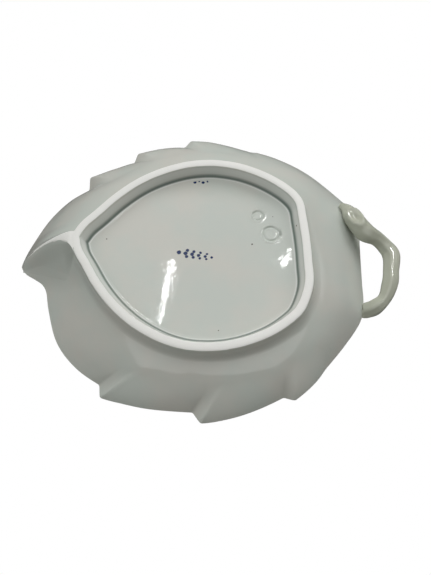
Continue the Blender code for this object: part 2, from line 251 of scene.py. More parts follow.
# %% [markdown]
# ## Sizes and outlines
#
# Two closed outlines decide the whole dish: the leaf's margin and the foot ring. Each is a
# short list of points in percent of its own length and half width, far side and near side,
# made smooth by a Catmull-Rom curve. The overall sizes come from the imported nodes.

# %% Sizes, in metres
MM = 0.001
leaf_low, leaf_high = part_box("leaf_bowl")
ring_low, ring_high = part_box("foot_ring")
LEAF_LENGTH = leaf_high.x - leaf_low.x
LEAF_WIDTH = 180.0 * MM
RIM_HEIGHT = 24.0 * MM
SPOUT_RISE = 23.5 * MM
STEM_RISE = 3.5 * MM
WALL = 4.0 * MM
TOOTH_DEPTH = 9.0 * MM
TOOTH_STEP = 2.5 * MM
LAST_LOBE = 28.0 * MM
GAP = 0.3 * MM
FOOT_LENGTH = 141.0 * MM
FOOT_WIDTH = 122.0 * MM
FOOT_FLARE = 1.6 * MM
FOOT_DEPTH = ring_high.z + GAP
FOOT_FORWARD = 0.443  # share of the ring's length that lies on the tip's side of the leaf's middle
TIP_X = leaf_low.x
STEM_X = leaf_high.x
AXIS_Y = ring_low.y + FOOT_WIDTH / 2 + FOOT_FLARE
FOOT_X = TIP_X + LEAF_LENGTH / 2 - FOOT_LENGTH * FOOT_FORWARD
print("leaf", round(LEAF_LENGTH / MM, 1), "mm long, underside at", round(FOOT_DEPTH / MM, 2), "mm")

# %% Outline points, in percent
MARGIN_FAR = [
    (0, 0), (1.5, -15), (5.5, -37), (11, -53.5), (17.5, -63), (25, -76), (31, -86), (39, -94.5),
    (46, -99.5), (55, -102), (67, -98.5), (76, -92.5), (85.5, -80), (94, -63), (98, -53),
    (99.3, -40), (99.5, -21), (99.8, 4),
]
MARGIN_NEAR = [
    (0, 0), (0.7, 4.5), (2.8, 9), (6.3, 13.5), (9.3, 18), (11.5, 24.5), (14, 39), (19, 61.5),
    (26, 77.5), (34, 88), (40.5, 93), (48, 97), (58, 99), (64, 98), (71.5, 93.5), (80, 84.5),
    (87, 72.5), (92, 58), (97.3, 39), (99.5, 27.5), (100, 16), (99.8, 4),
]
TEETH_FAR = [(17.5, 1.0), (31, 0.7), (46, 0.58), (66.5, 0.1)]
TEETH_NEAR = [(34, 0.66), (58, 0.62), (80, 0.48)]
FOOT_FAR = [
    (0, 0), (2.8, -15.5), (7.5, -30), (14, -50), (22, -69), (31, -83.5), (41, -94), (50, -99),
    (58, -100), (67, -97.5), (76, -91), (84.5, -81), (91, -69.5), (94.8, -57), (96.3, -40),
    (98, -15), (99, 8),
]
FOOT_NEAR = [
    (0, 0), (2.8, 15.5), (7.5, 30), (14, 49.5), (22, 68), (31, 83), (41, 94), (50, 99.5),
    (58, 100.5), (67, 98), (76, 91.5), (84.5, 81.5), (91, 70), (96, 57), (98.7, 40), (99.6, 25),
    (99, 8),
]
# The flank's curve from the ring to the rim is a power that changes from tip to stem.
FLANK_FAR = [(0.0, 1.9), (0.06, 1.55), (0.35, 2.1), (1.0, 2.1)]
FLANK_NEAR = [(0.0, 1.9), (0.025, 0.85), (0.12, 0.95), (0.4, 2.1), (1.0, 2.1)]
VEIN_SLANT = 0.08
FAR, NEAR = -1, 1
outline_points = len(MARGIN_FAR) + len(MARGIN_NEAR) + len(FOOT_FAR) + len(FOOT_NEAR)
print("outline points:", outline_points)


# %% Helpers: curves
FINE = 16  # steps of an outline between two of its points


def smoothstep(low, high, value):
    """0 below low, 1 above high, and an easy curve between."""
    share = min(max((value - low) / (high - low), 0.0), 1.0)
    return share * share * (3.0 - 2.0 * share)


def ramp(pairs, value):
    """Straight-line lookup in a short list of (place, value) pairs."""
    for (a, va), (b, vb) in zip(pairs, pairs[1:]):
        if value <= b:
            return va + (vb - va) * (value - a) / (b - a)
    return pairs[-1][1]


def through(points, before, after, fine):
    """Catmull-Rom curve through points; before and after are the neighbours past its two ends."""
    chain = [before] + points + [after]
    made = []
    for k in range(1, len(chain) - 2):
        a, b, c, d = chain[k - 1:k + 3]
        for n in range(fine):
            u = n / fine
            made.append(0.5 * (2 * b + (c - a) * u + (2 * a - 5 * b + 4 * c - d) * u * u
                               + (3 * b - a - 3 * c + d) * u * u * u))
    made.append(points[-1].copy())
    return made


class Side:
    """One side of an outline, from the tip end (0) to the stem end (1)."""

    def __init__(self, points):
        self.points = points
        self.arc = [0.0]
        for a, b in zip(points, points[1:]):
            self.arc.append(self.arc[-1] + (b - a).length)
        self.length = self.arc[-1]

    def at(self, share):
        """The point at a share of the way."""
        goal = min(max(share, 0.0), 1.0) * self.length
        k = min(max(int(np.searchsorted(self.arc, goal)), 1), len(self.arc) - 1)
        step = self.arc[k] - self.arc[k - 1]
        return self.points[k - 1].lerp(self.points[k], (goal - self.arc[k - 1]) / step)

    def outward(self, share, side):
        """The level direction out of the dish at a share of the way."""
        reach = 0.004
        along = self.at(share + reach) - self.at(share - reach)
        return Vector((along.y, -along.x)).normalized() * -side


def outline(far, near, start, length, half_width, sharp_tip):
    """Both sides of an outline that percent lists describe."""
    def place(pair):
        return Vector((start + length * pair[0] / 100.0, AXIS_Y + half_width * pair[1] / 100.0))
    far_points = [place(p) for p in far]
    near_points = [place(p) for p in near]
    past_far = far_points[0] * 2 - far_points[1] if sharp_tip else near_points[1]
    past_near = near_points[0] * 2 - near_points[1] if sharp_tip else far_points[1]
    return {
        FAR: Side(through(far_points, past_far, near_points[-2], FINE)),
        NEAR: Side(through(near_points, past_near, far_points[-2], FINE)),
    }


margin = outline(MARGIN_FAR, MARGIN_NEAR, TIP_X, LEAF_LENGTH, LEAF_WIDTH / 2, False)
foot = outline(FOOT_FAR, FOOT_NEAR, FOOT_X, FOOT_LENGTH, FOOT_WIDTH / 2, True)
print("margin", round((margin[FAR].length + margin[NEAR].length) / MM), "mm round")

# %% [markdown]
# ## The leaf's form
#
# Every point of the underside has two numbers: t, from the tip to the stem along one side,
# and s, from the foot ring out to the rim. The flank lifts slowly at first and then more
# and more, as a thrown or pressed dish does. Teeth stand out of the smooth margin, and
# from each tooth a fold runs in along the flank: a crest with a hollow beside it.

# %% Height of the rim
SWEEP_FROM = 0.502
SWEEP_POWER = 1.7
STEM_LIFT = (0.766, 0.996)


def rim_height(x):
    """The rim is level along the sides, sweeps up to the tip and lifts a little at the stem."""
    along = (x - TIP_X) / LEAF_LENGTH
    to_tip = min(max((SWEEP_FROM - along) / SWEEP_FROM, 0.0), 1.0)
    to_stem = smoothstep(*STEM_LIFT, along)
    return RIM_HEIGHT + SPOUT_RISE * to_tip ** SWEEP_POWER + STEM_RISE * to_stem


print("rim at the tip:", round(rim_height(TIP_X) / MM, 1), "mm high")

# %% Teeth
TOOTH_WEAR = 1.9 * MM


def notches(side):
    """Arc places of the notches on one side, tip to stem, each with its tooth's depth."""
    path = margin[side]
    found = []
    for percent, share in (TEETH_FAR if side == FAR else TEETH_NEAR):
        x = TIP_X + LEAF_LENGTH * percent / 100.0
        k = next(k for k, p in enumerate(path.points) if p.x >= x)
        found.append((path.arc[k], share * TOOTH_DEPTH))
    return found


NOTCHES = {FAR: notches(FAR), NEAR: notches(NEAR)}


def raw_tooth(side, arc):
    """A saw tooth: a quick rise just past the notch and a slow fall to the next one."""
    places = NOTCHES[side]
    for k, (start, depth) in enumerate(places):
        end = places[k + 1][0] if k + 1 < len(places) else start + LAST_LOBE
        if start <= arc < end:
            rise = smoothstep(start, start + TOOTH_STEP, arc)
            fall = 1.0 - max(arc - start - TOOTH_STEP, 0.0) / (end - start - TOOTH_STEP)
            return depth * rise * fall
    return 0.0


def tooth(side, arc, wear=TOOTH_WEAR):
    """The tooth, with its point and notch rounded by averaging over the wear each way."""
    spread = [-1.0, -0.5, 0.0, 0.5, 1.0]
    return sum(raw_tooth(side, arc + wear * k) for k in spread) / len(spread)


print("teeth:", {side: len(places) for side, places in NOTCHES.items()})

# %% Folds that run in from the teeth
FOLD_CREST = 0.6 * MM
FOLD_HOLLOW = 1.0 * MM
FOLD_WIDTH = 1.5 * MM
HOLLOW_WIDTH = 3.4 * MM
HOLLOW_PLACE = 4.2 * MM
LOBE_BULGE = 0.7 * MM
CREST_SPAN = (0.5, 0.8)
HOLLOW_SPAN = (0.5, 0.9)
LOBE_SPAN = (0.3, 1.0)
FOLD_GAIN = 1.5
FOLD_STRENGTH = {FAR: 0.35, NEAR: 1.0}
FOLD_START = 1.2 * TOOTH_STEP
FOLD_LEAN = 14.0 * MM
FOLD_FROM = 0.06
FOLD_POWER = 8
UNEVEN = 0.6 * MM
UNEVEN_SCALE = 30.0 * MM
RIPPLE = 0.18 * MM
RIPPLE_SCALE = 11.0 * MM


def fold(side, arc, s):
    """How far the flank stands out below its plain form: crests, hollows and lobes."""
    total = 0.0
    places = NOTCHES[side]
    for k, (start, depth) in enumerate(places):
        strength = min(depth / TOOTH_DEPTH * FOLD_GAIN, 1.0) * FOLD_STRENGTH[side]
        u = arc - start - FOLD_START - FOLD_LEAN * (1.0 - s)
        crest = FOLD_CREST * math.exp(-(u / FOLD_WIDTH) ** 2)
        hollow = FOLD_HOLLOW * math.exp(-((u + HOLLOW_PLACE) / HOLLOW_WIDTH) ** 2)
        crest *= smoothstep(*CREST_SPAN, s)
        hollow *= smoothstep(*HOLLOW_SPAN, s)
        total += strength * (crest - hollow)
        end = places[k + 1][0] if k + 1 < len(places) else start + LAST_LOBE
        share = (arc - start) / (end - start)
        if 0.0 < share < 1.0:
            bulge = LOBE_BULGE * math.sin(math.pi * share) * smoothstep(*LOBE_SPAN, s)
            total += strength * bulge
    return total


def folded(t):
    """Share of its full depth that a fold has at t: it dies out at the tip and at the stem."""
    return smoothstep(0.0, FOLD_FROM, t) * (1 - t ** FOLD_POWER)


def uneven(spot, scale=UNEVEN_SCALE):
    """Slow unevenness of hand-pressed clay, from -1 to 1."""
    return noise.noise(Vector((spot.x, spot.y, spot.z)) / scale)


print("folds lean", round(FOLD_LEAN / MM), "mm towards the stem")

# %% Underside and inside of the flank
TOOTH_FROM = 0.55
EVEN_TO = 0.25
SLOPE_REACH = 0.03
STEEPEST = 1.3
INNER_FOLD = 0.6


def ring_share(t):
    """Share of the way round the ring at which the vein that ends at t on the rim starts."""
    return t + VEIN_SLANT * math.sin(math.pi * t)


def plain_underside(side, t, s, standing=None):
    """Outer surface without folds; standing is how far the tooth stands out, if given."""
    path = margin[side]
    base = foot[side].at(ring_share(t))
    edge = path.at(t)
    if standing is None:
        standing = tooth(side, t * path.length)
    spot = base.lerp(edge, s) + path.outward(t, side) * standing * smoothstep(TOOTH_FROM, 1.0, s)
    power = ramp(FLANK_FAR if side == FAR else FLANK_NEAR, t)
    height = FOOT_DEPTH + (rim_height(edge.x) - FOOT_DEPTH) * s ** power
    return Vector((spot.x, spot.y, height))


def underside(side, t, s):
    """Outer surface of the flank, with its folds and unevenness."""
    spot = plain_underside(side, t, s)
    ends = smoothstep(0.0, EVEN_TO, s)
    spot.z -= fold(side, t * margin[side].length, s) * folded(t)
    spot.z += (UNEVEN * uneven(spot) + RIPPLE * uneven(spot, RIPPLE_SCALE)) * ends
    return spot


def inside(side, t, s):
    """Inner surface of the flank, one wall thickness off the outer one."""
    arc = t * margin[side].length
    standing = min(tooth(side, arc + WALL * k / 4) for k in range(-4, 5))
    here = plain_underside(side, t, s, standing)
    back = plain_underside(side, t, max(s - SLOPE_REACH, 0.0), standing)
    ahead = plain_underside(side, t, min(s + SLOPE_REACH, 1.0), standing)
    slope = (ahead.z - back.z) / (ahead.xy - back.xy).length
    lift = WALL * math.sqrt(1.0 + min(slope, STEEPEST) ** 2)
    here.z += lift - INNER_FOLD * fold(side, arc, s) * folded(t)
    return here


print("flank at the near side's middle:", round(underside(NEAR, 0.5, 0.5).z / MM, 1), "mm high")

# %% Stations round the rim
STATION_STEP = 1.9 * MM
NOTCH_STEP = 0.55 * MM
NOTCH_LEAD = 2.5 * MM
NOTCH_REACH = 4.5 * MM


def side_stations(side):
    """Arc places along one side, close together where a tooth drops."""
    length = margin[side].length
    arcs = [0.0]
    while arcs[-1] < length - STATION_STEP * 0.6:
        here = arcs[-1]
        near_notch = any(-NOTCH_LEAD < here - start < NOTCH_REACH for start, depth in NOTCHES[side])
        arcs.append(here + (NOTCH_STEP if near_notch else STATION_STEP))
    stretch = length / arcs[-1]
    return [arc * stretch / length for arc in arcs]


far_places = side_stations(FAR)
near_places = side_stations(NEAR)
stations = [(FAR, t) for t in far_places] + [(NEAR, t) for t in near_places[-2:0:-1]]
print(len(stations), "stations round the rim")

# %% [markdown]
# ## Growing the leaf ring by ring
#
# A closed loop of edges is laid down with create_circle and then extruded over and over,
# each new loop going to its own place: out along the underside, over the lip, and back in
# across the inside. A numbered layer on the vertices says which station each belongs to, so
# that a new loop knows where to go. The first loop, a small one in the middle of the base,
# is filled, and the last one, in the middle of the inside, is merged to a point.

# %% Helper: loops by extrusion
# gathering: glaze pooled in corners; bare: unglazed clay; the third mark: thin glaze on edges, and a
# painted highlight line along the base's edge.
MARKS = ("gathering", "bare", "thin")


class Growth:
    """A shell grown by extruding one closed loop of edges again and again."""

    def __init__(self, count):
        self.bm = bmesh.new()
        self.number = self.bm.verts.layers.int.new("station")
        self.marks = {name: self.bm.verts.layers.float.new(name) for name in MARKS}
        # The circle's size doesn't matter, since move() gives every vertex its place.
        made = bmesh.ops.create_circle(self.bm, segments=count, radius=0.05, cap_ends=False)
        self.ring = made["verts"]
        for k, vertex in enumerate(self.ring):
            vertex[self.number] = k
        self.edges = list(self.bm.edges)

    def move(self, place, **marks):
        """Send the newest loop to place(station), and write its marks."""
        for vertex in self.ring:
            vertex.co = place(vertex[self.number])
        for name, value in marks.items():
            for vertex in self.ring:
                vertex[self.marks[name]] = value

    def grow(self, place, **marks):
        """Extrude the newest loop, and move the new one to its place."""
        made = bmesh.ops.extrude_edge_only(self.bm, edges=self.edges)["geom"]
        self.ring = [g for g in made if isinstance(g, bmesh.types.BMVert)]
        fresh = set(self.ring)
        self.edges = [g for g in made if isinstance(g, bmesh.types.BMEdge)
                      and g.verts[0] in fresh and g.verts[1] in fresh]
        self.move(place, **marks)

    def close(self, spot):
        """Merge the newest loop into one point."""
        bmesh.ops.pointmerge(self.bm, verts=self.ring, merge_co=spot)


print("marks on the vertices:", MARKS)


# %% Helper: a finished piece
def finished(name, bm, material, sharp=40):
    """Make an object from a bmesh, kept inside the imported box, and let it ride on the dish."""
    bmesh.ops.recalc_face_normals(bm, faces=bm.faces)
    for vertex in bm.verts:
        # A lip's crown may stand a hair's breadth out of the box.
        for axis in range(3):
            vertex.co[axis] = min(max(vertex.co[axis], cad_low[axis]), cad_high[axis])
    mesh = bpy.data.meshes.new(name)
    bm.to_mesh(mesh)
    bm.free()
    mesh.materials.append(material)
    mesh.shade_smooth()
    mesh.set_sharp_from_angle(angle=math.radians(sharp))
    made = bpy.data.objects.new(name, mesh)
    bpy.context.scene.collection.objects.link(made)
    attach(made, "root")
    print(name, "has", sum(len(p.vertices) - 2 for p in mesh.polygons), "triangles")
    return made


print("finishing helper ready")

# %% [markdown]
# ## Finishes
#
# The glaze is a clear, slightly green glass over white porcelain. It is thin on edges, where
# the white comes through, and thick in corners, where it gathers to a dark green line. Along
# the base's edge in the recess a light line is painted on as a painted highlight. The glaze
# is never quite flat, so reflections break up. Where no glaze lies, the face is matt.

# %% Helper: node groups
FLOAT, COLOUR = "NodeSocketFloat", "NodeSocketColor"


def start_group(name, inputs, outputs):
    """A shader node group with named float or colour sockets; returns its tree and two ends."""
    made = bpy.data.node_groups.new(name, "ShaderNodeTree")
    for socket, kind, value in inputs:
        new = made.interface.new_socket(socket, in_out="INPUT", socket_type=kind)
        new.default_value = value
    for socket, kind in outputs:
        made.interface.new_socket(socket, in_out="OUTPUT", socket_type=kind)
    return made, made.nodes.new("NodeGroupInput"), made.nodes.new("NodeGroupOutput")


print("group helper ready")

# %% [markdown]
# ### Waves in the glaze
#
# Melted glass pulls itself nearly flat, but slow swells and a fine orange-peel stay in it.
# Only reflections show them, so they are a bump and not a shape: a slow noise and a little
# of a fine one, added. The fine one breaks the mirrored strips into blotches.

# %% Group: slow and fine waves of the glaze
waves, ends_in, ends_out = start_group(
    "glaze_waves",
    [("Slow Size", FLOAT, 60.0), ("Fine Size", FLOAT, 420.0), ("Fine Share", FLOAT, 0.20)],
    [("Height", FLOAT)])
place = waves.nodes.new("ShaderNodeTexCoord")
slow = add_node(waves, "ShaderNodeTexNoise", Detail=1.5, Roughness=0.45)
fine = add_node(waves, "ShaderNodeTexNoise", Detail=1.0, Roughness=0.5)
waves.links.new(place.outputs["Object"], slow.inputs["Vector"])
waves.links.new(place.outputs["Object"], fine.inputs["Vector"])
waves.links.new(ends_in.outputs["Slow Size"], slow.inputs["Scale"])
waves.links.new(ends_in.outputs["Fine Size"], fine.inputs["Scale"])
fine_part = math_node(waves, "MULTIPLY", fine.outputs["Fac"], ends_in.outputs["Fine Share"])
waves.links.new(math_node(waves, "ADD", slow.outputs["Fac"], fine_part), ends_out.inputs["Height"])
print("group glaze_waves")

# %% [markdown]
# ### Specks and colour
#
# Here and there ash or iron has left a dark speck: a cell pattern gives each cell a dot at
# its middle, and a cell's random colour says whether its dot is kept. The glaze itself
# drifts between a warm and a cool grey, in patches, and goes dark where it has gathered.

# %% Group: kiln specks
specks, ends_in, ends_out = start_group(
    "kiln_specks", [("Spacing", FLOAT, 70.0), ("Radius", FLOAT, 0.035), ("Kept", FLOAT, 0.3)],
    [("Mask", FLOAT)])
place = specks.nodes.new("ShaderNodeTexCoord")
cells = specks.nodes.new("ShaderNodeTexVoronoi")
specks.links.new(place.outputs["Object"], cells.inputs["Vector"])
specks.links.new(ends_in.outputs["Spacing"], cells.inputs["Scale"])
inside_speck = math_node(specks, "LESS_THAN", cells.outputs["Distance"], ends_in.outputs["Radius"])
pick = specks.nodes.new("ShaderNodeSeparateColor")
specks.links.new(cells.outputs["Color"], pick.inputs["Color"])
kept = math_node(specks, "LESS_THAN", pick.outputs["Red"], ends_in.outputs["Kept"])
specks.links.new(math_node(specks, "MULTIPLY", inside_speck, kept), ends_out.inputs["Mask"])
print("group kiln_specks")

# %% Group: glaze colour
tint, ends_in, ends_out = start_group(
    "glaze_tint",
    [("Warm", COLOUR, (0.62, 0.62, 0.58, 1)), ("Cool", COLOUR, (0.59, 0.63, 0.59, 1)),
     ("Gathered", COLOUR, (0.05, 0.10, 0.085, 1)), ("Gathering", FLOAT, 0.0),
     ("Patch Size", FLOAT, 30.0)],
    [("Color", COLOUR)])
place = tint.nodes.new("ShaderNodeTexCoord")
patches = add_node(tint, "ShaderNodeTexNoise", Detail=3.0, Roughness=0.55)
tint.links.new(place.outputs["Object"], patches.inputs["Vector"])
tint.links.new(ends_in.outputs["Patch Size"], patches.inputs["Scale"])
spread = add_node(tint, "ShaderNodeMapRange", From_Min=0.38, From_Max=0.62)
tint.links.new(patches.outputs["Fac"], spread.inputs["Value"])
body = blend_colour(tint, spread.outputs["Result"], ends_in.outputs["Warm"],
                    ends_in.outputs["Cool"])
final = blend_colour(tint, ends_in.outputs["Gathering"], body, ends_in.outputs["Gathered"])
tint.links.new(final, ends_out.inputs["Color"])
print("group glaze_tint")

# %% [markdown]
# ### Blue painting under the glaze
#
# The base carries a small sprig and a row of dabs, touched on with a brush in cobalt blue
# before the dish was glazed. Each touch is a ball of space round its middle: where the base
# is nearer to a middle than the touch's radius, it is blue. A noise makes the edges ragged.

# %% Places of the brush's touches
COBALT = (0.012, 0.030, 0.11, 1)
DOT_EDGE = 0.25 * MM
SPRIG_DOTS = 6
SPRIG_STEP = 3.9 * MM
SPRIG_RISE = 0.35 * MM
SPRIG_SPREAD = 2.1 * MM
SPRIG_RADIUS = 1.45 * MM
LEAFLET_RADIUS = 1.25 * MM
LEAFLET_LEAD = 0.9 * MM
SHRINK = 0.1 * MM
DABS = 5
DAB_STEP = 2.6 * MM
DAB_WOBBLE = 0.9 * MM
DAB_RADII = (0.75 * MM, 1.1 * MM)
sprig_start = Vector((-10.0 * MM, AXIS_Y + 1.4 * MM, FOOT_DEPTH))
dabs_start = Vector((-9.0 * MM, AXIS_Y - 49.6 * MM, FOOT_DEPTH))
brush_marks = []
for k in range(SPRIG_DOTS):
    step = Vector((SPRIG_STEP * k, SPRIG_RISE * k, 0.0))
    brush_marks.append((sprig_start + step, SPRIG_RADIUS - SHRINK * k))
    if 0 < k < SPRIG_DOTS - 1:
        for way in (-1, 1):
            leaflet = step + Vector((LEAFLET_LEAD, way * (SPRIG_SPREAD - SHRINK * k), 0.0))
            brush_marks.append((sprig_start + leaflet, LEAFLET_RADIUS - SHRINK * k))
for k in range(DABS):
    wobble = Vector((DAB_STEP * k, DAB_WOBBLE * (k % 2) - SHRINK * k, 0.0))
    brush_marks.append((dabs_start + wobble, DAB_RADII[k % 2]))
print("touches of the brush:", len(brush_marks))

# %% Group: blue dots
RAGGED = 0.7 * MM
brush_dots, ends_in, ends_out = start_group("brush_dots", [("Edge", FLOAT, DOT_EDGE)],
                                            [("Mask", FLOAT)])
place = brush_dots.nodes.new("ShaderNodeTexCoord")
tremble = add_node(brush_dots, "ShaderNodeTexNoise", Scale=900.0, Detail=2.0)
brush_dots.links.new(place.outputs["Object"], tremble.inputs["Vector"])
ragged = math_node(brush_dots, "MULTIPLY", tremble.outputs["Fac"], RAGGED)
reached = None
for spot, radius in brush_marks:
    away = brush_dots.nodes.new("ShaderNodeVectorMath")
    away.operation = "DISTANCE"
    brush_dots.links.new(place.outputs["Object"], away.inputs[0])
    away.inputs[1].default_value = spot
    within = math_node(brush_dots, "SUBTRACT", radius + RAGGED / 2, away.outputs["Value"])
    reached = within if reached is None else math_node(brush_dots, "MAXIMUM", reached, within)
inked = math_node(brush_dots, "SUBTRACT", reached, ragged)
soft = math_node(brush_dots, "DIVIDE", inked, ends_in.outputs["Edge"], clamp=True)
brush_dots.links.new(soft, ends_out.inputs["Mask"])
print("group brush_dots")

# %% [markdown]
# ### Glazed and bare porcelain
#
# One recipe makes all three finishes, since it is one dish from one kiln. Marks on the
# vertices say where the glaze gathers, where it is thin and where the clay is bare; the thin
# mark also carries a painted highlight, a light line along the base's edge in the recess. The
# edge of a bare face wanders a little, as a sponge leaves it, so the mark is shaken by a
# noise before it is cut off.

# %% Helpers: groups and marks in a material
BARE = (0.91, 0.91, 0.88, 1)
BARE_DARK = (0.84, 0.84, 0.81, 1)
# Colour of thin glaze on edges, and of the painted highlight line along the base's edge in the recess.
THIN_GLAZE_AND_HIGHLIGHT = (0.86, 0.88, 0.85, 1)
SPECK = (0.09, 0.085, 0.07, 1)


def use_group(tree, group, **values):
    """Place a group in a material, with values or sockets for its named inputs."""
    made = tree.nodes.new("ShaderNodeGroup")
    made.node_tree = group
    for name, value in values.items():
        socket = made.inputs[name.replace("_", " ")]
        if isinstance(value, bpy.types.NodeSocket):
            tree.links.new(value, socket)
        else:
            socket.default_value = value
    return made


def attribute(tree, name):
    """The value of a mark on the vertices."""
    made = tree.nodes.new("ShaderNodeAttribute")
    made.attribute_name = name
    return made.outputs["Fac"]


print("material helpers ready")

# %% Glazed and bare materials
GLASS_IOR = 1.52
MATT = 0.62
SPONGED = 0.5
BARE_FROM, BARE_TO = 0.42, 0.58


def glaze_material(name, warm, cool, gloss, wave_height, bare=False, painted=False):
    """Porcelain under glaze. With bare, what the "bare" mark covers is left matt clay; with
    painted, the blue dots lie under the glaze."""
    made = bpy.data.materials.new(name)
    made.use_nodes = True
    tree = made.node_tree
    shader = tree.nodes["Principled BSDF"]
    shader.inputs["IOR"].default_value = GLASS_IOR
    pool = attribute(tree, "gathering")
    colour = use_group(tree, tint, Warm=warm, Cool=cool, Gathering=pool).outputs["Color"]
    # Lighter where the glaze runs thin on edges, and a painted highlight: a light line along the base's
    # edge in the recess.
    colour = blend_colour(tree, attribute(tree, "thin"), colour, THIN_GLAZE_AND_HIGHLIGHT)
    if painted:
        blue = use_group(tree, brush_dots).outputs["Mask"]
        colour = blend_colour(tree, blue, colour, COBALT)
    dots = use_group(tree, specks).outputs["Mask"]
    colour = blend_colour(tree, dots, colour, SPECK)
    height = use_group(tree, waves).outputs["Height"]
    bump = add_node(tree, "ShaderNodeBump", Strength=1.0, Distance=wave_height)
    tree.links.new(height, bump.inputs["Height"])
    if bare:
        place = tree.nodes.new("ShaderNodeTexCoord")
        edge = add_node(tree, "ShaderNodeTexNoise", Scale=240.0, Detail=2.0)
        tree.links.new(place.outputs["Object"], edge.inputs["Vector"])
        shaken = math_node(tree, "MULTIPLY_ADD", edge.outputs["Fac"], SPONGED)
        shaken.node.inputs[2].default_value = -SPONGED / 2
        moved = math_node(tree, "ADD", attribute(tree, "bare"), shaken)
        mask = add_node(tree, "ShaderNodeMapRange", From_Min=BARE_FROM, From_Max=BARE_TO)
        tree.links.new(moved, mask.inputs["Value"])
        mask = mask.outputs["Result"]
        grain = add_node(tree, "ShaderNodeTexNoise", Scale=1500.0, Detail=3.0)
        tree.links.new(place.outputs["Object"], grain.inputs["Vector"])
        clay = blend_colour(tree, grain.outputs["Fac"], BARE_DARK, BARE)
        colour = blend_colour(tree, mask, colour, clay)
        rough = add_node(tree, "ShaderNodeMapRange", To_Min=gloss, To_Max=MATT)
        tree.links.new(mask, rough.inputs["Value"])
        tree.links.new(rough.outputs["Result"], shader.inputs["Roughness"])
    else:
        shader.inputs["Roughness"].default_value = gloss
    tree.links.new(colour, shader.inputs["Base Color"])
    tree.links.new(bump.outputs["Normal"], shader.inputs["Normal"])
    return made


WARM = (0.640, 0.640, 0.592, 1)
COOL = (0.598, 0.638, 0.594, 1)
leaf_glaze = glaze_material("leaf_glaze", WARM, COOL, 0.045, 0.13 * MM, painted=True)
ring_finish = glaze_material("ring_finish", WARM, COOL, 0.12, 0.1 * MM, bare=True)
twig_glaze = glaze_material("twig_glaze", (0.56, 0.57, 0.48, 1), (0.51, 0.53, 0.44, 1),
                            0.02, 0.06 * MM)
print("finishes:", leaf_glaze.name, ring_finish.name, twig_glaze.name)

# %% [markdown]
# ## Veins on the inside
#
# The inside is a leaf's upper side: a midrib runs from the stem towards the tip, and a side
# vein bows out from it to each tooth. They could be carved with a brush, but then they
# wouldn't follow the teeth if the leaf changed. So each vein is a short curve in plan, and
# the inside is lifted by a bell-shaped ridge wherever a curve is near.

# %% Curves of the side veins
VEIN_HEIGHT = 0.9 * MM
VEIN_HALF = 1.5 * MM
MIDRIB_HEIGHT = 1.3 * MM
MIDRIB_HALF = 2.6 * MM
VEIN_BOW = 0.08
VEIN_LEAN = 0.30
VEIN_STEPS = 14
VEIN_INSET = 1.5 * MM
STEM_CLEAR = 22.0 * MM


def vein_curves():
    """Side veins as lists of (place, share of the way): from the midrib out to each tooth."""
    curves = []
    for side in (FAR, NEAR):
        path = margin[side]
        goals = [path.at((arc - VEIN_INSET) / path.length) for arc, depth in NOTCHES[side]]
        for goal in goals:
            reach = goal.y - AXIS_Y
            start = Vector((goal.x + abs(reach) * VEIN_LEAN, AXIS_Y))
            start.x = min(start.x, STEM_X - STEM_CLEAR)
            curve = []
            for k in range(VEIN_STEPS + 1):
                share = k / VEIN_STEPS
                spot = start.lerp(goal, share)
                spot.x += VEIN_BOW * abs(reach) * math.sin(math.pi * share)
                curve.append((spot, share))
            curves.append(curve)
    return curves


VEINS = vein_curves()
print("side veins:", len(VEINS))


# %% Height of the veins
VEIN_THINNING, VEIN_SINKING = 0.45, 0.6
MIDRIB_NARROW = 0.35
MIDRIB_TIP = (0.06, 0.25)
MIDRIB_STEM = (0.93, 0.985)


def distance_to(curve, spot):
    """Distance in plan from spot to a curve, and the share of the way where it is nearest."""
    best = (1.0, 0.0)
    for (a, share_a), (b, share_b) in zip(curve, curve[1:]):
        run = b - a
        u = min(max((spot - a).dot(run) / run.length_squared, 0.0), 1.0)
        away = (spot - a - run * u).length
        if away < best[0]:
            best = (away, share_a + (share_b - share_a) * u)
    return best


def vein_height(spot):
    """How far the relief of midrib and side veins stands up at a place."""
    flat = Vector((spot.x, spot.y))
    along = min(max((flat.x - TIP_X) / LEAF_LENGTH, 0.0), 1.0)
    half = MIDRIB_HALF * (MIDRIB_NARROW + (1 - MIDRIB_NARROW) * along)
    rib = MIDRIB_HEIGHT * math.exp(-((flat.y - AXIS_Y) / half) ** 2)
    rib *= smoothstep(*MIDRIB_TIP, along) * (1.0 - smoothstep(*MIDRIB_STEM, along))
    best = 0.0
    for curve in VEINS:
        away, share = distance_to(curve, flat)
        if away < 4 * VEIN_HALF:
            half = VEIN_HALF * (1.0 - VEIN_THINNING * share)
            height = VEIN_HEIGHT * (1.0 - VEIN_SINKING * share)
            best = max(best, height * math.exp(-(away / half) ** 2))
    return max(rib, best)


print("midrib at the middle:", round(vein_height(Vector((0, AXIS_Y))) / MM, 2), "mm high")

# %% [markdown]
# ## Places for the leaf's loops
#
# Every loop has one vertex per station. Four functions say where it goes: across the base,
# along the underside, round the lip and along the inside. The lip is half an oval that
# joins the outer edge to the inner one, since a sponge rounds a rim before it dries.

# %% Base and lip
FLANK_RINGS = 36
LIP_RINGS = 6
FLOOR_RINGS = 16
INNER_FLANK_RINGS = 44
INNER_FLOOR_RINGS = 46
SMOOTHING = 14
LIP_CROWN = 0.33
HUB = 0.06
middle = Vector((FOOT_X + FOOT_LENGTH * 0.5, AXIS_Y, 0.0))


def station_function(place):
    """Turn place(side, t) into a function of the station's number."""
    return lambda k: place(*stations[k])


def floor_place(height, share):
    """A loop of the base, shrunk from the ring's outline towards the middle."""
    def place(side, t):
        base = foot[side].at(ring_share(t))
        spot = middle.lerp(Vector((base.x, base.y, 0.0)), share)
        return Vector((spot.x, spot.y, height))
    return station_function(place)


